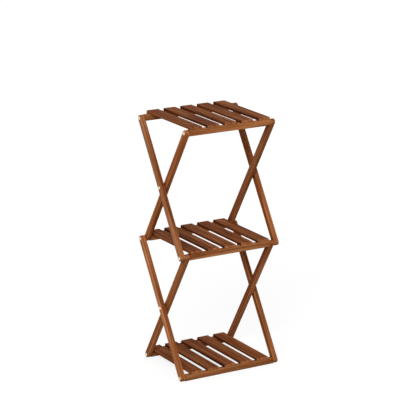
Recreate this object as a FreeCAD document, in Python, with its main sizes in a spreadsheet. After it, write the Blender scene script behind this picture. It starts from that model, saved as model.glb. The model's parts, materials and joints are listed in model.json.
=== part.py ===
import FreeCAD, Part
import math
import os
import Sketcher

# A folding plant stand: three slatted shelves on a two-tier scissor frame.
# X runs along the rails, Y from front to back and Z up, in millimetres.
# The origin is on the floor, below the middle of the stand.
# Outer legs lean to the back at the top and inner legs lean to the front.
# Each shelf is screwed to its front rail, rests on its back rail and lifts up about the front bolts.

SIZES = {
    # frame
    "stand_width": 400.0,
    "tier_height": 440.0,
    "pivot_spacing": 280.0,
    "leg_width": 22.0,
    "leg_thick": 18.0,
    "leg_ease": 3.0,
    "rail_height": 22.0,
    "rail_depth": 16.0,
    "rail_ease": 2.0,
    # shelves
    "slat_count": 5,
    "slat_width": 47.0,
    "slat_thick": 9.0,
    "slat_ease": 1.6,
    "slat_side_gap": 2.5,
    "batten_depth": 12.0,
    "batten_height": 12.0,
    "batten_ease": 1.2,
    "batten_gap": 0.8,
    # pivots
    "bolt_diameter": 6.0,
    "bolt_tip": 0.8,
    "head_diameter": 12.0,
    "head_height": 2.6,
    "head_rim": 1.0,
    "socket_width": 4.0,
    "socket_depth": 2.2,
    "insert_diameter": 10.0,
    "insert_length": 13.0,
    "insert_bevel": 0.6,
    "bolt_end_gap": 1.0,
    "washer_diameter": 15.0,
    "washer_thick": 1.6,
    "running_gap": 0.05,
    "side_play": 0.2,
    # wood screws
    "screw_diameter": 3.5,
    "screw_grip": 6.0,
    "screw_tip": 2.5,
    "screw_head_diameter": 7.0,
    "screw_head_height": 2.2,
    "screw_sink": 3.0,
    "drive_span": 3.8,
    "drive_width": 1.0,
    "drive_depth": 1.2,
}

FULL_TURN = 360.0
HEX_SIDES = 6
THROUGH = "ThroughAll"

# Places and sizes that follow from the driving dimensions.
LEG_LENGTH = "sqrt(Sizes.tier_height^2 + Sizes.pivot_spacing^2)"
LEG_LEAN = "atan(Sizes.pivot_spacing / Sizes.tier_height)"
BOLT_HOLE = "(Sizes.bolt_diameter + 2 * Sizes.running_gap)"
INSERT_HOLE = "(Sizes.insert_diameter + 2 * Sizes.running_gap)"
BOLT_REACH = "(Sizes.insert_length - Sizes.bolt_end_gap)"
LEG_GAP = "(Sizes.washer_thick + 2 * Sizes.side_play)"
OUTER_OUTSIDE = "(Sizes.stand_width / 2)"
OUTER_INSIDE = f"({OUTER_OUTSIDE} - Sizes.leg_thick)"
INNER_OUTSIDE = f"({OUTER_INSIDE} - {LEG_GAP})"
INNER_INSIDE = f"({INNER_OUTSIDE} - Sizes.leg_thick)"
WIDE_HALF = f"({OUTER_INSIDE} - Sizes.side_play)"
NARROW_HALF = f"({INNER_INSIDE} - Sizes.side_play)"
FIELD_HALF = f"({INNER_INSIDE} - Sizes.slat_side_gap)"
SLAT_PITCH = f"((2 * {FIELD_HALF} - Sizes.slat_width) / (Sizes.slat_count - 1))"

# From front to back: the leg ends reach furthest forward, the slats furthest back.
FRONT_REACH = "(max(Sizes.leg_width; Sizes.rail_depth) / 2)"
BACK_REACH = "(Sizes.rail_depth / 2 + Sizes.batten_gap + Sizes.batten_depth)"
MIDDLE_SHIFT = f"(({FRONT_REACH} - {BACK_REACH}) / 2)"
FRONT_Y = f"({MIDDLE_SHIFT} - Sizes.pivot_spacing / 2)"
BACK_Y = f"({MIDDLE_SHIFT} + Sizes.pivot_spacing / 2)"
BATTEN_Y = f"({BACK_Y} + {BACK_REACH} - Sizes.batten_depth / 2)"
SLAT_LENGTH = f"(Sizes.rail_depth / 2 + Sizes.pivot_spacing + {BACK_REACH})"
SLAT_Y = f"({BACK_Y} + {BACK_REACH} - {SLAT_LENGTH} / 2)"

# Heights of the pivots: the lowest rest on the floor by their leg ends and rails.
BOTTOM_Z = "(max(Sizes.leg_width; Sizes.rail_height) / 2)"
MIDDLE_Z = f"({BOTTOM_Z} + Sizes.tier_height)"
TOP_Z = f"({BOTTOM_Z} + 2 * Sizes.tier_height)"
SHELVES = {"top": TOP_Z, "middle": MIDDLE_Z, "bottom": BOTTOM_Z}

HEAD_DEPTH = "(Sizes.screw_sink - Sizes.screw_head_height)"
RAIL_SCREW_LENGTH = f"(Sizes.rail_height - {HEAD_DEPTH} + Sizes.screw_grip)"
BATTEN_SCREW_LENGTH = f"(Sizes.batten_height - {HEAD_DEPTH} + Sizes.screw_grip)"

doc = FreeCAD.newDocument("PlantStand")
nodes = {}


def make_sheet():
    """The spreadsheet with the driving dimensions, one alias per row."""
    table = doc.addObject("Spreadsheet::Sheet", "Sizes")
    for row, (name, size) in enumerate(SIZES.items(), start=1):
        table.set(f"A{row}", name)
        table.set(f"B{row}", str(size))
        table.setAlias(f"B{row}", name)
    doc.recompute()
    return table


sheet = make_sheet()


def value(expression):
    """What an expression in the sheet's names comes to now."""
    result = sheet.evalExpression(expression)
    return float(getattr(result, "Value", result))


# Sketches and features


def new_sketch(body, name, role, lift=None):
    """A sketch on one of the body's origin planes, lifted off it along its normal if asked."""
    sketch = body.newObject("Sketcher::SketchObject", name)
    plane = next(item for item in body.Origin.OriginFeatures if item.Role == role)
    sketch.AttachmentSupport = [(plane, "")]
    sketch.MapMode = "FlatFace"
    if lift is not None:
        sketch.setExpression("AttachmentOffset.Base.z", lift)
    return sketch


def bind(sketch, name, expression, kind, *places):
    """A named dimension of the sketch that follows an expression."""
    index = sketch.addConstraint(Sketcher.Constraint(kind, *places, value(expression)))
    sketch.renameConstraint(index, name)
    sketch.setExpression(f"Constraints.{name}", expression)


def tie(sketch, *constraints):
    """Constraints that need no size."""
    for constraint in constraints:
        sketch.addConstraint(Sketcher.Constraint(*constraint))


def draw_slot(sketch, length, width):
    """A round-ended outline along the sketch's y axis, its lower end centred on the origin."""
    radius = value(width) / 2
    reach = value(length)
    normal = FreeCAD.Vector(0, 0, 1)
    low = FreeCAD.Vector(0, 0, 0)
    high = FreeCAD.Vector(0, reach, 0)
    foot = sketch.addGeometry(Part.ArcOfCircle(Part.Circle(low, normal, radius), math.pi, 2 * math.pi))
    right_start = FreeCAD.Vector(radius, 0, 0)
    right_end = FreeCAD.Vector(radius, reach, 0)
    right = sketch.addGeometry(Part.LineSegment(right_start, right_end))
    head = sketch.addGeometry(Part.ArcOfCircle(Part.Circle(high, normal, radius), 0, math.pi))
    left_start = FreeCAD.Vector(-radius, reach, 0)
    left_end = FreeCAD.Vector(-radius, 0, 0)
    left = sketch.addGeometry(Part.LineSegment(left_start, left_end))
    tie(
        sketch,
        ("Tangent", foot, 2, right, 1),
        ("Tangent", right, 2, head, 1),
        ("Tangent", head, 2, left, 1),
        ("Tangent", left, 2, foot, 1),
        ("Coincident", foot, 3, -1, 1),
        ("PointOnObject", head, 3, -2),
        ("Equal", foot, head),
    )
    bind(sketch, "end_radius", f"{width} / 2", "Radius", foot)
    bind(sketch, "pivot_length", length, "DistanceY", foot, 3, head, 3)


def draw_rectangle(sketch, width, height):
    """A rectangle centred on the sketch's origin."""
    half_width = value(width) / 2
    half_height = value(height) / 2
    signs = [(-1, -1), (1, -1), (1, 1), (-1, 1)]
    corners = [FreeCAD.Vector(half_width * across, half_height * along, 0) for across, along in signs]
    sides = []
    for start, end in zip(corners, corners[1:] + corners[:1]):
        sides.append(sketch.addGeometry(Part.LineSegment(start, end)))
    bottom, right, top, left = sides
    tie(
        sketch,
        ("Coincident", bottom, 2, right, 1),
        ("Coincident", right, 2, top, 1),
        ("Coincident", top, 2, left, 1),
        ("Coincident", left, 2, bottom, 1),
        ("Horizontal", bottom),
        ("Horizontal", top),
        ("Vertical", right),
        ("Vertical", left),
        ("Symmetric", bottom, 1, top, 1, -1, 1),
    )
    bind(sketch, "width", width, "DistanceX", bottom, 1, bottom, 2)
    bind(sketch, "height", height, "DistanceY", right, 1, right, 2)


def draw_circle(sketch, name, diameter, across=None, along=None):
    """A circle at a place given from the origin, or on an axis where a place is left out."""
    centre_x = value(across) if across else 0
    centre_y = value(along) if along else 0
    centre = FreeCAD.Vector(centre_x, centre_y, 0)
    circle = sketch.addGeometry(Part.Circle(centre, FreeCAD.Vector(0, 0, 1), value(diameter) / 2))
    if across:
        bind(sketch, f"{name}_across", across, "DistanceX", -1, 1, circle, 3)
    else:
        tie(sketch, ("PointOnObject", circle, 3, -2))
    if along:
        bind(sketch, f"{name}_along", along, "DistanceY", -1, 1, circle, 3)
    else:
        tie(sketch, ("PointOnObject", circle, 3, -1))
    bind(sketch, f"{name}_diameter", diameter, "Diameter", circle)


def draw_profile(sketch, points):
    """A closed outline of straight sides through points given as pairs of expressions from the origin.

    A place of None is on the axis. Each point is bound by its own two dimensions.
    """
    places = []
    for across, along in points:
        places.append(FreeCAD.Vector(value(across) if across else 0, value(along) if along else 0, 0))
    sides = []
    for start, end in zip(places, places[1:] + places[:1]):
        sides.append(sketch.addGeometry(Part.LineSegment(start, end)))
    for index, side in enumerate(sides):
        tie(sketch, ("Coincident", side, 2, sides[(index + 1) % len(sides)], 1))
    for index, (across, along) in enumerate(points):
        if across:
            bind(sketch, f"across_{index}", across, "DistanceX", -1, 1, sides[index], 1)
        else:
            tie(sketch, ("PointOnObject", sides[index], 1, -2))
        if along:
            bind(sketch, f"along_{index}", along, "DistanceY", -1, 1, sides[index], 1)
        else:
            tie(sketch, ("PointOnObject", sides[index], 1, -1))


def pad(body, sketch, length, symmetric=False):
    """A pad of the sketch, to one side or half to each side of its plane."""
    feature = body.newObject("PartDesign::Pad", "pad")
    feature.Profile = sketch
    if symmetric:
        feature.SideType = "Symmetric"
    feature.setExpression("Length", length)
    doc.recompute()
    return feature


def revolve(body, sketch, axis):
    """A full turn of the sketch about one of its own axes."""
    feature = body.newObject("PartDesign::Revolution", "turned")
    feature.Profile = sketch
    feature.ReferenceAxis = (sketch, [axis])
    feature.Angle = FULL_TURN
    doc.recompute()
    return feature


def pocket(body, sketch, depth, forward=False):
    """A pocket against the sketch's normal, or along it, which has to take something away."""
    before = body.Shape.Volume
    feature = body.newObject("PartDesign::Pocket", "pocket")
    feature.Profile = sketch
    feature.Reversed = forward
    if depth == THROUGH:
        feature.Type = THROUGH
    else:
        feature.setExpression("Length", depth)
    doc.recompute()
    if not body.Shape.Volume < before:
        raise RuntimeError(f"{sketch.Name} of {body.Label} cuts nothing")
    return feature


def ease(body, feature, radius, chosen):
    """Rounds the chosen edges of the body's last feature."""
    names = [f"Edge{index}" for index, edge in enumerate(feature.Shape.Edges, start=1) if chosen(edge)]
    rounded = body.newObject("PartDesign::Fillet", "eased")
    rounded.Base = (feature, names)
    rounded.setExpression("Radius", radius)
    doc.recompute()
    return rounded


def is_square_to_x(edge):
    """True for an edge that stays at one X."""
    return edge.BoundBox.XLength < Part.Precision.confusion()


def is_along_x(edge):
    """True for an edge that runs along X alone."""
    box = edge.BoundBox
    return max(box.YLength, box.ZLength) < Part.Precision.confusion()


def any_edge(edge):
    """True for every edge."""
    return edge.Length > 0


def new_body(label):
    """An empty body with the sub-part's name."""
    body = doc.addObject("PartDesign::Body", label)
    body.Label = label
    return body


def place(piece, across, back, up):
    """Binds a piece's place to three expressions."""
    piece.setExpression("Placement.Base.x", across)
    piece.setExpression("Placement.Base.y", back)
    piece.setExpression("Placement.Base.z", up)


def slat_places():
    """How far each slat's middle is from the middle of the shelf, as expressions from left to right."""
    count = int(value("Sizes.slat_count"))
    return [f"({index} - (Sizes.slat_count - 1) / 2) * {SLAT_PITCH}" for index in range(count)]


# Wooden pieces


def make_leg(label, inside, left, outer, foot_z):
    """A leg from its lower pivot to its upper one, with a hole at both pivots and at the crossing.

    The inner leg's crossing hole is a recess on its outer side, which takes the insert.
    """
    body = new_body(label)
    outline = new_sketch(body, "outline", "YZ_Plane")
    draw_slot(outline, LEG_LENGTH, "Sizes.leg_width")
    stock = pad(body, outline, "Sizes.leg_thick")
    ease(body, stock, "Sizes.leg_ease", is_square_to_x)
    holes = new_sketch(body, "bolt_holes", "YZ_Plane")
    draw_circle(holes, "lower", BOLT_HOLE)
    draw_circle(holes, "upper", BOLT_HOLE, along=LEG_LENGTH)
    if outer:
        draw_circle(holes, "crossing", BOLT_HOLE, along=f"{LEG_LENGTH} / 2")
    pocket(body, holes, THROUGH, forward=True)
    if not outer:
        recess = new_sketch(body, "insert_recess", "YZ_Plane", None if left else "Sizes.leg_thick")
        draw_circle(recess, "crossing", INSERT_HOLE, along=f"{LEG_LENGTH} / 2")
        pocket(body, recess, "Sizes.insert_length", forward=left)
    lean_axis = FreeCAD.Vector(-1 if outer else 1, 0, 0)
    body.Placement = FreeCAD.Placement(FreeCAD.Vector(), FreeCAD.Rotation(lean_axis, value(LEG_LEAN)))
    body.setExpression("Placement.Rotation.Angle", LEG_LEAN)
    near_face = f"-{inside} - Sizes.leg_thick" if left else inside
    place(body, near_face, FRONT_Y if outer else BACK_Y, foot_z)
    nodes[label] = body


def cut_screw_holes(body, height):
    """A stepped hole from below for the screw of each slat, through a piece centred on its origin."""
    for name, diameter, depth in (
        ("screw_holes", "Sizes.screw_diameter", THROUGH),
        ("screw_sinks", "Sizes.screw_head_diameter", "Sizes.screw_sink"),
    ):
        holes = new_sketch(body, name, "XY_Plane", f"-{height} / 2")
        hole = f"({diameter} + 2 * Sizes.running_gap)"
        for index, across in enumerate(slat_places(), start=1):
            on_axis = abs(value(across)) < Part.Precision.confusion()
            draw_circle(holes, f"slat_{index}", hole, None if on_axis else across)
        pocket(body, holes, depth, forward=True)


def make_rail(label, half_length, back, up, screwed):
    """A rail with a recess in each end for the insert, and screw holes if it carries the slats."""
    body = new_body(label)
    section = new_sketch(body, "section", "YZ_Plane")
    draw_rectangle(section, "Sizes.rail_depth", "Sizes.rail_height")
    stock = pad(body, section, f"2 * {half_length}", symmetric=True)
    ease(body, stock, "Sizes.rail_ease", is_along_x)
    for name, lift, forward in (
        ("right_recess", half_length, False),
        ("left_recess", f"-{half_length}", True),
    ):
        recess = new_sketch(body, name, "YZ_Plane", lift)
        draw_circle(recess, "insert", INSERT_HOLE)
        pocket(body, recess, "Sizes.insert_length", forward)
    if screwed:
        cut_screw_holes(body, "Sizes.rail_height")
    place(body, "0", back, up)
    nodes[label] = body


def make_slat(label, across, pivot_z):
    """A slat with eased edges and two pilot holes from below, over the front rail and the batten."""
    body = new_body(label)
    outline = new_sketch(body, "outline", "XY_Plane")
    draw_rectangle(outline, "Sizes.slat_width", SLAT_LENGTH)
    stock = pad(body, outline, "Sizes.slat_thick")
    ease(body, stock, "Sizes.slat_ease", any_edge)
    pilots = new_sketch(body, "pilot_holes", "XY_Plane")
    pilot = "(Sizes.screw_diameter + 2 * Sizes.running_gap)"
    draw_circle(pilots, "rail", pilot, along=f"{FRONT_Y} - {SLAT_Y}")
    draw_circle(pilots, "batten", pilot, along=f"{BATTEN_Y} - {SLAT_Y}")
    pocket(body, pilots, "(Sizes.screw_grip + Sizes.running_gap)", forward=True)
    place(body, across, SLAT_Y, f"{pivot_z} + Sizes.rail_height / 2")
    nodes[label] = body


def make_batten(label, pivot_z):
    """The stop batten, screwed under the slats so that it hooks behind the back rail."""
    body = new_body(label)
    section = new_sketch(body, "section", "YZ_Plane")
    draw_rectangle(section, "Sizes.batten_depth", "Sizes.batten_height")
    stock = pad(body, section, f"2 * {FIELD_HALF}", symmetric=True)
    ease(body, stock, "Sizes.batten_ease", is_along_x)
    cut_screw_holes(body, "Sizes.batten_height")
    place(body, "0", BATTEN_Y, f"{pivot_z} + Sizes.rail_height / 2 - Sizes.batten_height / 2")
    nodes[label] = body


# Metal pieces, each made once and used in pairs or rows


def make_bolt(name, length):
    """A low-headed bolt along +X from the seat of its head, with a hexagon socket."""
    body = new_body(name)
    profile = new_sketch(body, "profile", "XY_Plane")
    radius = "Sizes.bolt_diameter / 2"
    head = "Sizes.head_diameter / 2"
    crown = "(Sizes.head_diameter / 2 - (Sizes.head_height - Sizes.head_rim))"
    draw_profile(
        profile,
        [
            ("-Sizes.head_height", None),
            ("-Sizes.head_height", crown),
            ("-Sizes.head_rim", head),
            (None, head),
            (None, radius),
            (f"{length} - Sizes.bolt_tip", radius),
            (length, f"{radius} - Sizes.bolt_tip"),
            (length, None),
        ],
    )
    turned = revolve(body, profile, "H_Axis")
    crown_edge = value(crown)

    def is_crown(edge):
        """True for the round edge between the head's flat and its slope."""
        at_flat = abs(edge.BoundBox.XMin + value("Sizes.head_height")) < Part.Precision.confusion()
        return at_flat and edge.BoundBox.YMax > crown_edge - Part.Precision.confusion()

    ease(body, turned, "Sizes.head_height - Sizes.head_rim", is_crown)
    socket = new_sketch(body, "socket", "YZ_Plane", "-Sizes.head_height")
    corner = value("Sizes.socket_width") / 2 / math.cos(math.pi / HEX_SIDES)
    angles = [2 * math.pi * step / HEX_SIDES for step in range(HEX_SIDES)]
    corners = [FreeCAD.Vector(corner * math.cos(angle), corner * math.sin(angle), 0) for angle in angles]
    sides = []
    for start, end in zip(corners, corners[1:] + corners[:1]):
        sides.append(socket.addGeometry(Part.LineSegment(start, end)))
    circle = socket.addGeometry(Part.Circle(FreeCAD.Vector(), FreeCAD.Vector(0, 0, 1), corner), True)
    tie(socket, ("Coincident", circle, 3, -1, 1))
    for index, side in enumerate(sides):
        following = sides[(index + 1) % HEX_SIDES]
        tie(socket, ("Coincident", side, 2, following, 1), ("PointOnObject", side, 1, circle))
        if index:
            tie(socket, ("Equal", side, sides[0]))
    tie(socket, ("PointOnObject", sides[0], 1, -1))
    across_corners = f"Sizes.socket_width / cos({FULL_TURN / 2 / HEX_SIDES} deg)"
    bind(socket, "across_corners", across_corners, "Diameter", circle)
    pocket(body, socket, "Sizes.socket_depth", forward=True)
    return body


def make_ring(name, outside, inside, length, bevel=None):
    """A round sleeve along +X: an insert or a washer."""
    body = new_body(name)
    section = new_sketch(body, "section", "YZ_Plane")
    draw_circle(section, "outside", outside)
    draw_circle(section, "inside", inside)
    sleeve = pad(body, section, length)
    if bevel:
        rim = value(outside) / 2 - Part.Precision.confusion()
        rims = []
        for index, edge in enumerate(sleeve.Shape.Edges, start=1):
            if is_square_to_x(edge) and edge.BoundBox.YMax > rim:
                rims.append(f"Edge{index}")
        chamfer = body.newObject("PartDesign::Chamfer", "bevel")
        chamfer.Base = (sleeve, rims)
        chamfer.setExpression("Size", bevel)
        doc.recompute()
    return body


def make_screw(name, length):
    """A wood screw pointing up along +Z from the underside of its head, which has a cross recess."""
    body = new_body(name)
    profile = new_sketch(body, "profile", "XZ_Plane")
    radius = "Sizes.screw_diameter / 2"
    draw_profile(
        profile,
        [
            (None, None),
            ("Sizes.screw_head_diameter / 2", None),
            ("Sizes.screw_head_diameter / 2", "Sizes.screw_head_height / 2"),
            (radius, "Sizes.screw_head_height"),
            (radius, f"{length} - Sizes.screw_tip"),
            (None, length),
        ],
    )
    revolve(body, profile, "V_Axis")
    for slot_name, across, along in (
        ("drive_across", "Sizes.drive_span", "Sizes.drive_width"),
        ("drive_along", "Sizes.drive_width", "Sizes.drive_span"),
    ):
        slot = new_sketch(body, slot_name, "XY_Plane")
        draw_rectangle(slot, across, along)
        pocket(body, slot, "Sizes.drive_depth", forward=True)
    return body


def add_copy(template, name, across, back, up, turned=False):
    """A copy of a template at its own place, turned to face the other way if asked."""
    copy = doc.addObject("App::Link", name)
    copy.LinkedObject = template
    half_turn = FreeCAD.Rotation(FreeCAD.Vector(0, 0, 1), FULL_TURN / 2 if turned else 0)
    copy.Placement = FreeCAD.Placement(FreeCAD.Vector(), half_turn)
    place(copy, across, back, up)
    return copy


def make_group(label, copies):
    """One named node of separate solids."""
    group = doc.addObject("Part::Compound", label)
    group.Label = label
    group.Links = copies
    nodes[label] = group


def make_pair(label, template, seat, back, up):
    """The left and the right copy of a template, both pointing to the middle of the stand."""
    left = add_copy(template, f"{label}_left", f"-{seat}", back, up)
    right = add_copy(template, f"{label}_right", seat, back, up, turned=True)
    make_group(label, [left, right])


# The stand


def make_frame():
    """The eight legs and six rails."""
    for tier, foot_z in (("upper", MIDDLE_Z), ("lower", BOTTOM_Z)):
        for side in ("left", "right"):
            make_leg(f"{tier}_outer_leg_{side}", OUTER_INSIDE, side == "left", True, foot_z)
            make_leg(f"{tier}_inner_leg_{side}", INNER_INSIDE, side == "left", False, foot_z)
    for shelf, pivot_z in SHELVES.items():
        front_half = WIDE_HALF if shelf == "bottom" else NARROW_HALF
        back_half = WIDE_HALF if shelf == "top" else NARROW_HALF
        make_rail(f"{shelf}_front_rail", front_half, FRONT_Y, pivot_z, True)
        make_rail(f"{shelf}_back_rail", back_half, BACK_Y, pivot_z, False)


def make_shelves():
    """The slats, stop battens and screws of the three shelves."""
    rail_screw = make_screw("rail_screw", RAIL_SCREW_LENGTH)
    batten_screw = make_screw("batten_screw", BATTEN_SCREW_LENGTH)
    for shelf, pivot_z in SHELVES.items():
        make_batten(f"{shelf}_stop_batten", pivot_z)
        rail_head_z = f"{pivot_z} - Sizes.rail_height / 2 + {HEAD_DEPTH}"
        batten_head_z = f"{pivot_z} + Sizes.rail_height / 2 - Sizes.batten_height + {HEAD_DEPTH}"
        screws = []
        for index, across in enumerate(slat_places(), start=1):
            make_slat(f"{shelf}_slat_{index}", across, pivot_z)
            for piece, screw, back, head_z in (
                ("rail", rail_screw, FRONT_Y, rail_head_z),
                ("batten", batten_screw, BATTEN_Y, batten_head_z),
            ):
                screws.append(add_copy(screw, f"{shelf}_{piece}_screw_{index}", across, back, head_z))
        make_group(f"{shelf}_slat_screws", screws)


def make_pivots():
    """The bolts, inserts and washers at the eight pivots of each side."""
    end_length = f"(Sizes.leg_thick + Sizes.side_play + {BOLT_REACH})"
    crossing_length = f"(Sizes.leg_thick + {LEG_GAP} + {BOLT_REACH})"
    end_bolt = make_bolt("end_bolt", end_length)
    long_bolt = make_bolt("long_bolt", f"(Sizes.leg_thick + {LEG_GAP} + {end_length})")
    crossing_bolt = make_bolt("crossing_bolt", crossing_length)
    insert_size = ("Sizes.insert_diameter", BOLT_HOLE, "Sizes.insert_length")
    washer_size = ("Sizes.washer_diameter", BOLT_HOLE, "Sizes.washer_thick")
    insert = make_ring("insert", *insert_size, bevel="Sizes.insert_bevel")
    washer = make_ring("washer", *washer_size)
    upper_z = f"({MIDDLE_Z} + Sizes.tier_height / 2)"
    lower_z = f"({BOTTOM_Z} + Sizes.tier_height / 2)"
    washer_seat = f"({OUTER_INSIDE} - Sizes.side_play)"
    pivots = {
        "top_front": (end_bolt, INNER_OUTSIDE, NARROW_HALF, FRONT_Y, TOP_Z),
        "top_back": (end_bolt, OUTER_OUTSIDE, WIDE_HALF, BACK_Y, TOP_Z),
        "upper_cross": (crossing_bolt, OUTER_OUTSIDE, INNER_OUTSIDE, MIDDLE_SHIFT, upper_z),
        "middle_front": (long_bolt, OUTER_OUTSIDE, NARROW_HALF, FRONT_Y, MIDDLE_Z),
        "middle_back": (long_bolt, OUTER_OUTSIDE, NARROW_HALF, BACK_Y, MIDDLE_Z),
        "lower_cross": (crossing_bolt, OUTER_OUTSIDE, INNER_OUTSIDE, MIDDLE_SHIFT, lower_z),
        "bottom_front": (end_bolt, OUTER_OUTSIDE, WIDE_HALF, FRONT_Y, BOTTOM_Z),
        "bottom_back": (end_bolt, INNER_OUTSIDE, NARROW_HALF, BACK_Y, BOTTOM_Z),
    }
    for name, (bolt, head_seat, insert_seat, back, up) in pivots.items():
        make_pair(f"{name}_bolts", bolt, head_seat, back, up)
        make_pair(f"{name}_inserts", insert, insert_seat, back, up)
        if bolt is not end_bolt:
            make_pair(f"{name}_washers", washer, washer_seat, back, up)


def check_document():
    """Stops if any object failed, or if a sub-part has no valid shape."""
    for item in doc.Objects:
        if "Invalid" in item.State or "Error" in item.State:
            raise RuntimeError(f"{item.Label} failed: {item.State}")
    for label, piece in nodes.items():
        if piece.Shape.isNull() or not piece.Shape.isValid():
            raise RuntimeError(f"{label} has no valid shape")


def export_parts():
    """Writes each sub-part to its own file."""
    os.makedirs("parts", exist_ok=True)
    for label, piece in nodes.items():
        piece.Shape.exportStep(f"parts/{label}.step")


make_frame()
make_shelves()
make_pivots()
doc.recompute()
check_document()
export_parts()
print(f"{len(nodes)} nodes written")
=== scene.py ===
import json
import math

import bpy
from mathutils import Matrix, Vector

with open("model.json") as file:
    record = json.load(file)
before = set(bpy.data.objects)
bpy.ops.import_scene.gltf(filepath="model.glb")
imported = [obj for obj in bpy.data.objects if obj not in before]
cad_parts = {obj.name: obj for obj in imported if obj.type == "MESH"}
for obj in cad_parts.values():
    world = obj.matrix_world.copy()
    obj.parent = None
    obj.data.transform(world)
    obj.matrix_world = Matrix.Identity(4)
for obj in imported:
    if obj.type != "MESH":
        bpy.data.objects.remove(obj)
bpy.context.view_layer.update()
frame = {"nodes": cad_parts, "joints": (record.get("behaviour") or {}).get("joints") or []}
nodes = frame["nodes"]

# A folding plant stand of oiled hardwood, dressed in procedural materials.
# Every object is in metres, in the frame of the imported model. Colours are linear.

QUARTER_TURN = math.pi / 2
WHITE = (1.0, 1.0, 1.0)
OPAQUE = 1.0

# Ways that a face can look.
RIGHT = (1.0, 0.0, 0.0)
LEFT = (-1.0, 0.0, 0.0)
BACK = (0.0, 1.0, 0.0)
UP = (0.0, 0.0, 1.0)

# Wood tones, from the darkest streak to the palest, and their places in the range of tones.
LEG_TONES = [
    (0.158, 0.042, 0.011),
    (0.287, 0.091, 0.027),
    (0.404, 0.147, 0.051),
    (0.550, 0.227, 0.094),
]
RAIL_TONES = [
    (0.165, 0.048, 0.013),
    (0.297, 0.103, 0.033),
    (0.396, 0.154, 0.054),
    (0.528, 0.228, 0.093),
]
SLAT_TONES = [
    (0.090, 0.022, 0.006),
    (0.171, 0.047, 0.012),
    (0.243, 0.077, 0.022),
    (0.351, 0.130, 0.044),
]
BATTEN_TONES = [
    (0.085, 0.024, 0.007),
    (0.165, 0.048, 0.013),
    (0.230, 0.076, 0.022),
    (0.320, 0.120, 0.040),
]
TONE_PLACES = [0.32, 0.46, 0.58, 0.74]

# Legs and rails get brightness shares of their own: partly the tone of their planks, and partly painted
# light and shade, such as the top front rail paler than the lower front rails as if lit from above.
PLANK_AND_PAINTED_LIGHT_SHARES = {
    "upper_outer_leg_left": 0.86,
    "upper_outer_leg_right": 1.08,
    "upper_inner_leg_left": 1.24,
    "upper_inner_leg_right": 0.86,
    "lower_outer_leg_left": 1.18,
    "lower_outer_leg_right": 0.88,
    "lower_inner_leg_left": 0.90,
    "lower_inner_leg_right": 0.90,
    "top_front_rail": 1.12,
    "middle_front_rail": 0.94,
    "bottom_front_rail": 0.94,
}

# Noise in the grain: its features per metre along the grain and across it, its detail and its roughness.
CLOUD = ((5.0, 22.0, 22.0), 2.0, 0.5)
STREAK = ((2.4, 95.0, 95.0), 3.0, 0.6)
FIBRE = ((9.0, 620.0, 620.0), 3.0, 0.6)
PORE = ((55.0, 1500.0, 1500.0), 1.0, 0.5)
NOISE_MIDDLE = 0.5

# Each piece shows a patch of the grain of its own, up to this far away.
PATCH_REACH = (9.0, 13.0, 17.0)

# Growth rings about a pith beside the piece, which hardly change along the grain.
PITH_NEAREST = (0.0, 0.03, 0.02)
PITH_SPREAD = (0.0, 0.09, 0.06)
RING_STRETCH = (0.05, 1.0, 1.0)
RING_SPACING = 0.0062
RING_WANDER = 0.016
RING_SHARPNESS = 1.6

# How much each feature of the grain counts in the tone.
STREAK_SHARE = 0.85
RING_SHARE = 0.13
FIBRE_SHARE = 0.22
CLOUD_SHARE = 0.30
CHANCE_SHARE = 0.06
TONE_OFFSET = -0.265

# Pores show where their noise is high.
PORE_FROM = 0.60
PORE_TO = 0.72
PORE_SHARE = 0.55
PORE_TINT = (0.30, 0.24, 0.20)

# Eased edges are rubbed paler, unevenly.
EDGE_FROM = 0.03
EDGE_TO = 0.24
RUB_FROM = 0.35
RUB_TO = 0.70
LEAST_RUB_SHARE = 0.05
MOST_RUB_SHARE = 0.55

# Tints of the end grain, and painted light and shade on faces by the way they look.
DARKER_ENDS = (0.90, 0.87, 0.84)
# Painted light: the slats' ends paler, as if lit like the front faces of the rails.
PAINTED_LIGHT_SLAT_ENDS = (1.70, 2.00, 2.60)
# Painted shade: the slats' sides between the slats darker, as if in the gaps' shade.
PAINTED_SHADE_GAP_SIDES = (0.50, 0.42, 0.40)
# Painted light: the outermost sides of each shelf's slats paler, as if open to the light.
PAINTED_LIGHT_OPEN_SIDES = (1.20, 1.28, 1.40)
# Painted shade: the inner legs' faces that look into the stand darker.
PAINTED_SHADE_INSIDE_FACES = (0.80, 0.71, 0.74)
# Painted sheen and light: the outer legs' outside faces paler and greyer.
PAINTED_SHEEN_OUTSIDE_FACES = (1.14, 1.36, 1.85)
FACING_FROM = 0.70
FACING_TO = 0.95

# Painted shade: the narrow places between the pieces are darkened where little light gets in, fully where
# hardly any does.
PAINTED_SHADE_REACH = 0.024
PAINTED_SHADE_RAYS = 8
PAINTED_SHADE_TINT = (0.50, 0.42, 0.36)
PAINTED_SHADE_SHARE = 0.85
CLOSED_SHARE = 0.30
OPEN_SHARE = 0.95

# The wood's surface.
WOOD_ROUGHNESS = 0.46
FIBRE_ROUGHNESS = 0.22
PORE_ROUGHNESS = 0.25
RUB_ROUGHNESS = -0.10
FIBRE_RELIEF = 0.7
PORE_RELIEF = -0.8
RING_RELIEF = 0.15
WOOD_BUMP = 0.25
WOOD_BUMP_DEPTH = 0.0004
WOOD_SHINE = 0.008

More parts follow.
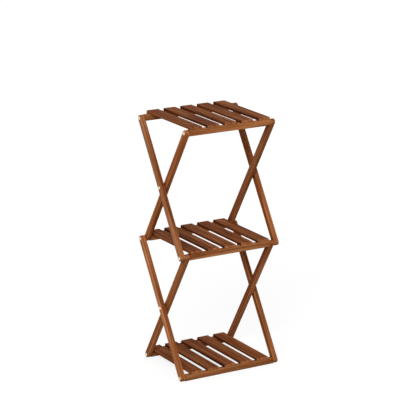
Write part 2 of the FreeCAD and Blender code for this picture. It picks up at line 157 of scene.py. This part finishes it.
# Metals by the last word of a node's name: the material's name, tone, roughness and dull share.
# The inserts are hidden in the wood, and their brass has one tone all over.
METALS = {
    "bolts": ("bolt_metal", (0.80, 0.74, 0.52), 0.34, 0.90),
    "washers": ("washer_metal", (0.70, 0.69, 0.66), 0.38, 0.82),
    "screws": ("screw_metal", (0.66, 0.60, 0.46), 0.36, 0.82),
    "inserts": ("insert_brass", (0.57, 0.39, 0.15), 0.32, 1.0),
}
BLOTCH = ((420.0, 420.0, 420.0), 3.0, 0.5)
SCRATCH = ((600.0, 5200.0, 900.0), 2.0, 0.5)
BLOTCH_PLACES = [0.30, 0.62]
BLOTCH_ROUGHNESS = -0.10
SCRATCH_ROUGHNESS = 0.22
METAL_BUMP = 0.12
METAL_BUMP_DEPTH = 0.0001

# The floor and the light.
FLOOR_REACH = 30.0
FLOOR_DROP = 0.0004
FLOOR_BOUNCE = (0.55, 0.55, 0.55)
FLOOR_SHADE = (0.24, 0.24, 0.24)
FLOOR_GLOW = 0.82
SKY_LIGHT = 0.34
SKY_WHITE = 1.0
KEY_TOWARDS = Vector((-0.56, -0.62, 0.55))
KEY_STRENGTH = 2.3
KEY_SOFTNESS = math.radians(36.0)
FILL_TOWARDS = Vector((0.70, 0.55, 0.45))
FILL_STRENGTH = 0.6
FILL_SOFTNESS = math.radians(60.0)

# The photograph's viewing angle.
CAMERA_AZIMUTH = math.radians(30.544)
CAMERA_ELEVATION = math.radians(15.645)
CAMERA_DISTANCE = 7.104
CAMERA_TARGET = Vector((0.0, 0.0, 0.5688))
CAMERA_LENS = 173.84
CAMERA_FAR_CLIP = 100.0
SENSOR_WIDTH = 36.0


class Tree:
    """A material's or the world's nodes, made and linked by short calls."""

    def __init__(self, owner):
        owner.use_nodes = True
        self.tree = owner.node_tree
        self.tree.nodes.clear()

    def put(self, socket, given):
        """Links a socket to another, or sets its value."""
        if isinstance(given, bpy.types.NodeSocket):
            self.tree.links.new(given, socket)
        elif socket.type == "RGBA":
            socket.default_value = (*given, OPAQUE)
        else:
            socket.default_value = given

    def add(self, kind, settings=None, **inputs):
        """A node with its settings and inputs; an input is a socket to link or a value."""
        node = self.tree.nodes.new(f"ShaderNode{kind}")
        for name, setting in (settings or {}).items():
            setattr(node, name, setting)
        for name, given in inputs.items():
            self.put(node.inputs[name.replace("_", " ")], given)
        return node

    def add_in_order(self, kind, settings, values):
        """A node whose inputs are given in their own order."""
        node = self.add(kind, settings)
        for socket, given in zip(node.inputs, values):
            self.put(socket, given)
        return node

    def math(self, operation, *values, clamp=False):
        """A calculation with up to three numbers."""
        settings = {"operation": operation, "use_clamp": clamp}
        return self.add_in_order("Math", settings, values).outputs[0]

    def vector(self, operation, *values):
        """A calculation with vectors that gives a vector."""
        return self.add_in_order("VectorMath", {"operation": operation}, values).outputs["Vector"]

    def measure(self, operation, *values):
        """A calculation with vectors that gives a number."""
        return self.add_in_order("VectorMath", {"operation": operation}, values).outputs["Value"]

    def scaled(self, source, share):
        """A vector times a number."""
        node = self.add("VectorMath", {"operation": "SCALE"}, Scale=share)
        self.put(node.inputs[0], source)
        return node.outputs["Vector"]

    def noise(self, place, feature):
        """Noise of a feature's scale, detail and roughness, from 0 to 1."""
        scale, detail, roughness = feature
        spot = self.vector("MULTIPLY", place, scale)
        return self.add("TexNoise", Vector=spot, Scale=1.0, Detail=detail, Roughness=roughness).outputs[0]

    def remap(self, source, low, high, to_low=0.0, to_high=1.0):
        """A smooth step from one range to another."""
        node = self.add("MapRange", {"interpolation_type": "SMOOTHSTEP"}, Value=source)
        limits = {"From Min": low, "From Max": high, "To Min": to_low, "To Max": to_high}
        for name, given in limits.items():
            node.inputs[name].default_value = given
        return node.outputs[0]

    def ramp(self, source, places, colours):
        """A colour ramp through the given colours."""
        node = self.add("ValToRGB", Fac=source)
        elements = node.color_ramp.elements
        while len(elements) < len(places):
            elements.new(places[-1])
        for element, place, colour in zip(elements, places, colours):
            element.position = place
            element.color = (*colour, OPAQUE)
        return node.outputs[0]

    def mix(self, mode, share, first, second):
        """Two colours mixed."""
        node = self.add("Mix", {"data_type": "RGBA", "blend_type": mode}, Factor=share)
        colours = {socket.name: socket for socket in node.inputs if socket.type == "RGBA"}
        self.put(colours["A"], first)
        self.put(colours["B"], second)
        return next(socket for socket in node.outputs if socket.type == "RGBA")

    def mix_shaders(self, share, first, second):
        """Two shaders mixed."""
        return self.add_in_order("MixShader", {}, (share, first, second)).outputs[0]

    def seen(self):
        """1 for what the camera sees, also by way of metal or glass, and else 0."""
        paths = self.add("LightPath").outputs
        seen = self.math("MAXIMUM", paths["Is Camera Ray"], paths["Is Glossy Ray"])
        return self.math("MAXIMUM", seen, paths["Is Transmission Ray"])


def make_wood(name, tones, turn, flat_axis, tints):
    """Oiled hardwood with its grain along one axis of the rest pose.

    turn brings the grain onto X. flat_axis is the way that the wide faces look.
    tints are pairs of a way that some faces look and the tint that those have; some tints are painted
    light and shade.
    """
    material = bpy.data.materials.new(name)
    tree = Tree(material)
    spot = tree.add("TexCoord").outputs
    chance = tree.add("ObjectInfo").outputs["Random"]
    grain = tree.add("Mapping", {"vector_type": "POINT"}, Vector=spot["Object"], Rotation=turn).outputs[0]
    place = tree.vector("ADD", grain, tree.scaled(PATCH_REACH, chance))
    cloud = tree.noise(place, CLOUD)
    streak = tree.noise(place, STREAK)
    fibre = tree.noise(place, FIBRE)
    pore = tree.remap(tree.noise(place, PORE), PORE_FROM, PORE_TO, 0.0, PORE_SHARE)

    # Growth rings, which wander slowly along the grain.
    pith = tree.vector("ADD", tree.scaled(PITH_SPREAD, chance), PITH_NEAREST)
    from_pith = tree.vector("MULTIPLY", tree.vector("ADD", grain, pith), RING_STRETCH)
    wander = tree.math("MULTIPLY", tree.math("SUBTRACT", cloud, NOISE_MIDDLE), RING_WANDER)
    reach = tree.math("ADD", tree.measure("LENGTH", from_pith), wander)
    ring = tree.math("FRACT", tree.math("DIVIDE", reach, RING_SPACING))
    ring = tree.math("POWER", ring, RING_SHARPNESS)

    tone = tree.math("MULTIPLY_ADD", chance, CHANCE_SHARE, TONE_OFFSET)
    features = ((streak, STREAK_SHARE), (ring, RING_SHARE), (fibre, FIBRE_SHARE), (cloud, CLOUD_SHARE))
    for feature, share in features:
        tone = tree.math("MULTIPLY_ADD", feature, share, tone)
    colour = tree.ramp(tone, TONE_PLACES, tones)
    colour = tree.mix("MULTIPLY", pore, colour, PORE_TINT)

    # An eased edge looks neither along the flat axis nor square to it.
    along = tree.measure("DOT_PRODUCT", spot["Normal"], flat_axis)
    aside = tree.math("SQRT", tree.math("SUBTRACT", 1.0, tree.math("MULTIPLY", along, along), clamp=True))
    flatness = tree.math("MAXIMUM", tree.math("ABSOLUTE", along), aside)
    edge = tree.remap(tree.math("SUBTRACT", 1.0, flatness), EDGE_FROM, EDGE_TO)
    uneven = tree.remap(cloud, RUB_FROM, RUB_TO, LEAST_RUB_SHARE, MOST_RUB_SHARE)
    rub = tree.math("MULTIPLY", edge, uneven)
    colour = tree.mix("MIX", rub, colour, tones[-1])

    # Faces that look one way get a tint: darker end grain, or painted light and shade.
    for axis, tint in tints:
        facing = tree.measure("DOT_PRODUCT", spot["Normal"], axis)
        colour = tree.mix("MULTIPLY", tree.remap(facing, FACING_FROM, FACING_TO), colour, tint)

    # Painted shade between the pieces, darker where the ambient occlusion finds other surfaces close.
    nearby = tree.add("AmbientOcclusion", {"samples": PAINTED_SHADE_RAYS}, Distance=PAINTED_SHADE_REACH)
    painted_shade = tree.remap(nearby.outputs["AO"], CLOSED_SHARE, OPEN_SHARE, PAINTED_SHADE_SHARE, 0.0)
    colour = tree.mix("MULTIPLY", painted_shade, colour, PAINTED_SHADE_TINT)

    rough = tree.math("MULTIPLY_ADD", fibre, FIBRE_ROUGHNESS, WOOD_ROUGHNESS)
    rough = tree.math("MULTIPLY_ADD", pore, PORE_ROUGHNESS, rough)
    rough = tree.math("MULTIPLY_ADD", rub, RUB_ROUGHNESS, rough)
    relief = tree.math("MULTIPLY", fibre, FIBRE_RELIEF)
    relief = tree.math("MULTIPLY_ADD", pore, PORE_RELIEF, relief)
    relief = tree.math("MULTIPLY_ADD", ring, RING_RELIEF, relief)
    bump = tree.add("Bump", Height=relief, Strength=WOOD_BUMP, Distance=WOOD_BUMP_DEPTH)
    shader = tree.add("BsdfPrincipled", Base_Color=colour, Roughness=rough, Normal=bump.outputs[0])
    shader.inputs["Specular IOR Level"].default_value = WOOD_SHINE
    tree.add("OutputMaterial", Surface=shader.outputs[0])
    return material


def make_metal(name, tone, roughness, dull_share):
    """Plated or turned metal with fine scratches and blotches, which a dull share below 1 darkens."""
    material = bpy.data.materials.new(name)
    tree = Tree(material)
    place = tree.add("TexCoord").outputs["Object"]
    blotch = tree.noise(place, BLOTCH)
    scratch = tree.noise(place, SCRATCH)
    colour = tone
    if dull_share < 1.0:
        colour = tree.ramp(blotch, BLOTCH_PLACES, [*shaded([tone], dull_share), tone])
    middle = roughness - NOISE_MIDDLE * (BLOTCH_ROUGHNESS + SCRATCH_ROUGHNESS)
    rough = tree.math("MULTIPLY_ADD", scratch, SCRATCH_ROUGHNESS, middle)
    rough = tree.math("MULTIPLY_ADD", blotch, BLOTCH_ROUGHNESS, rough)
    bump = tree.add("Bump", Height=scratch, Strength=METAL_BUMP, Distance=METAL_BUMP_DEPTH)
    shader = tree.add("BsdfPrincipled", Base_Color=colour, Roughness=rough, Normal=bump.outputs[0])
    shader.inputs["Metallic"].default_value = 1.0
    tree.add("OutputMaterial", Surface=shader.outputs[0])
    return material


def shaded(tones, share):
    """Tones made paler or darker by a share."""
    return [tuple(part * share for part in tone) for tone in tones]


def both_ways(axis, tint):
    """The same tint for the faces that look either way along an axis."""
    return [(axis, tint), (tuple(-part for part in axis), tint)]


def leg_lean():
    """How far the legs lean from upright, from two pivots of the lower inner legs."""
    pivots = {joint["name"]: Vector(joint["pos_m"]) for joint in frame["joints"]}
    leg = pivots["lower_crossing"] - pivots["fold"]
    return math.atan2(-leg.y, leg.z)


def wood_looks():
    """Tones, grain turn, flat axis and tints of each kind of wooden piece, by what its name holds; some
    tints are painted light and shade.
    """
    lean = leg_lean()
    outer_turn = (lean, QUARTER_TURN, 0.0)
    inner_turn = (-lean, QUARTER_TURN, 0.0)
    slat_turn = (0.0, 0.0, -QUARTER_TURN)
    no_turn = (0.0, 0.0, 0.0)
    # Face tints: darker end grain on legs and rails; painted light on the slat ends and open slat sides,
    # painted shade on the slat sides between slats and on the inner legs' inside faces, and a painted
    # sheen on the outer legs' outside faces.
    outer_ends = both_ways((0.0, math.sin(lean), math.cos(lean)), DARKER_ENDS)
    inner_ends = both_ways((0.0, -math.sin(lean), math.cos(lean)), DARKER_ENDS)
    rail_ends = both_ways(RIGHT, DARKER_ENDS)
    slat_ends = both_ways(BACK, PAINTED_LIGHT_SLAT_ENDS)
    return {
        "outer_leg_left": (LEG_TONES, outer_turn, RIGHT, [*outer_ends, (LEFT, PAINTED_SHEEN_OUTSIDE_FACES)]),
        "outer_leg_right": (LEG_TONES, outer_turn, RIGHT, [*outer_ends, (RIGHT, PAINTED_SHEEN_OUTSIDE_FACES)]),
        "inner_leg_left": (LEG_TONES, inner_turn, RIGHT, [*inner_ends, (RIGHT, PAINTED_SHADE_INSIDE_FACES)]),
        "inner_leg_right": (LEG_TONES, inner_turn, RIGHT, [*inner_ends, (LEFT, PAINTED_SHADE_INSIDE_FACES)]),
        "rail": (RAIL_TONES, no_turn, BACK, rail_ends),
        "slat_1": (SLAT_TONES, slat_turn, UP, [*slat_ends, (LEFT, PAINTED_LIGHT_OPEN_SIDES), (RIGHT, PAINTED_SHADE_GAP_SIDES)]),
        "slat_5": (SLAT_TONES, slat_turn, UP, [*slat_ends, (LEFT, PAINTED_SHADE_GAP_SIDES), (RIGHT, PAINTED_LIGHT_OPEN_SIDES)]),
        "slat": (SLAT_TONES, slat_turn, UP, [*slat_ends, *both_ways(RIGHT, PAINTED_SHADE_GAP_SIDES)]),
        "stop_batten": (BATTEN_TONES, no_turn, BACK, rail_ends),
    }


def dress(piece, material):
    """Gives an object one material."""
    piece.data.materials.clear()
    piece.data.materials.append(material)


def dress_nodes():
    """Each node's material: pieces of one kind share it, but a piece with a brightness share of its own
    has its own, partly plank tone and partly painted light and shade.
    """
    metals = {word: make_metal(*look) for word, look in METALS.items()}
    looks = wood_looks()
    woods = {}
    for name, node in nodes.items():
        last_word = name.split("_")[-1]
        if last_word in metals:
            dress(node, metals[last_word])
            continue
        kind = next(kind for kind in looks if f"_{kind}" in name)
        material_key = name if name in PLANK_AND_PAINTED_LIGHT_SHARES else kind
        if material_key not in woods:
            tones, turn, flat_axis, tints = looks[kind]
            # The share makes some pieces paler or darker, partly as painted light and shade.
            tones = shaded(tones, PLANK_AND_PAINTED_LIGHT_SHARES.get(name, 1.0))
            woods[material_key] = make_wood(f"{material_key}_wood", tones, turn, flat_axis, tints)
        dress(node, woods[material_key])


def make_stage():
    """A white floor that keeps the stand's soft shadow and is clear from below."""
    mesh = bpy.data.meshes.new("floor")
    signs = [(-1, -1), (1, -1), (1, 1), (-1, 1)]
    corners = [(FLOOR_REACH * across, FLOOR_REACH * along, 0.0) for across, along in signs]
    mesh.from_pydata(corners, [], [(0, 1, 2, 3)])
    floor = bpy.data.objects.new("floor", mesh)
    floor.location.z = -FLOOR_DROP
    bpy.context.scene.collection.objects.link(floor)
    material = bpy.data.materials.new("floor_white")
    tree = Tree(material)
    bounce = tree.add("BsdfDiffuse", Color=FLOOR_BOUNCE).outputs[0]
    shade = tree.add("BsdfDiffuse", Color=FLOOR_SHADE).outputs[0]
    glow = tree.add("Emission", Color=WHITE, Strength=FLOOR_GLOW).outputs[0]
    white = tree.add_in_order("AddShader", {}, (shade, glow)).outputs[0]
    top = tree.mix_shaders(tree.seen(), bounce, white)
    clear = tree.add("BsdfTransparent").outputs[0]
    below = tree.add("NewGeometry").outputs["Backfacing"]
    tree.add("OutputMaterial", Surface=tree.mix_shaders(below, top, clear))
    dress(floor, material)


def make_world():
    """Even soft light, with a white background for what the eye and the metal see."""
    world = bpy.data.worlds.new("studio")
    bpy.context.scene.world = world
    tree = Tree(world)
    strength = tree.math("MULTIPLY_ADD", tree.seen(), SKY_WHITE - SKY_LIGHT, SKY_LIGHT)
    sky = tree.add("Background", Color=WHITE, Strength=strength)
    tree.add("OutputWorld", Surface=sky.outputs[0])


def make_sun(name, towards, strength, softness):
    """A wide soft lamp that shines from one direction."""
    data = bpy.data.lights.new(name, "SUN")
    data.energy = strength
    data.angle = softness
    lamp = bpy.data.objects.new(name, data)
    lamp.rotation_mode = "QUATERNION"
    lamp.rotation_quaternion = towards.to_track_quat("Z", "Y")
    bpy.context.scene.collection.objects.link(lamp)


def make_camera():
    """The camera at the photograph's viewing angle."""
    data = bpy.data.cameras.new("camera")
    data.sensor_width = SENSOR_WIDTH
    data.lens = CAMERA_LENS
    data.clip_end = CAMERA_FAR_CLIP
    camera = bpy.data.objects.new("camera", data)
    level = math.cos(CAMERA_ELEVATION)
    to_camera = Vector((
        -math.sin(CAMERA_AZIMUTH) * level,
        -math.cos(CAMERA_AZIMUTH) * level,
        math.sin(CAMERA_ELEVATION),
    ))
    camera.location = CAMERA_TARGET + to_camera * CAMERA_DISTANCE
    camera.rotation_mode = "QUATERNION"
    camera.rotation_quaternion = to_camera.to_track_quat("Z", "Y")
    bpy.context.scene.collection.objects.link(camera)
    bpy.context.scene.camera = camera


dress_nodes()
make_stage()
make_world()
make_sun("key", KEY_TOWARDS, KEY_STRENGTH, KEY_SOFTNESS)
make_sun("fill", FILL_TOWARDS, FILL_STRENGTH, FILL_SOFTNESS)
make_camera()
bpy.context.scene.view_settings.view_transform = "Standard"
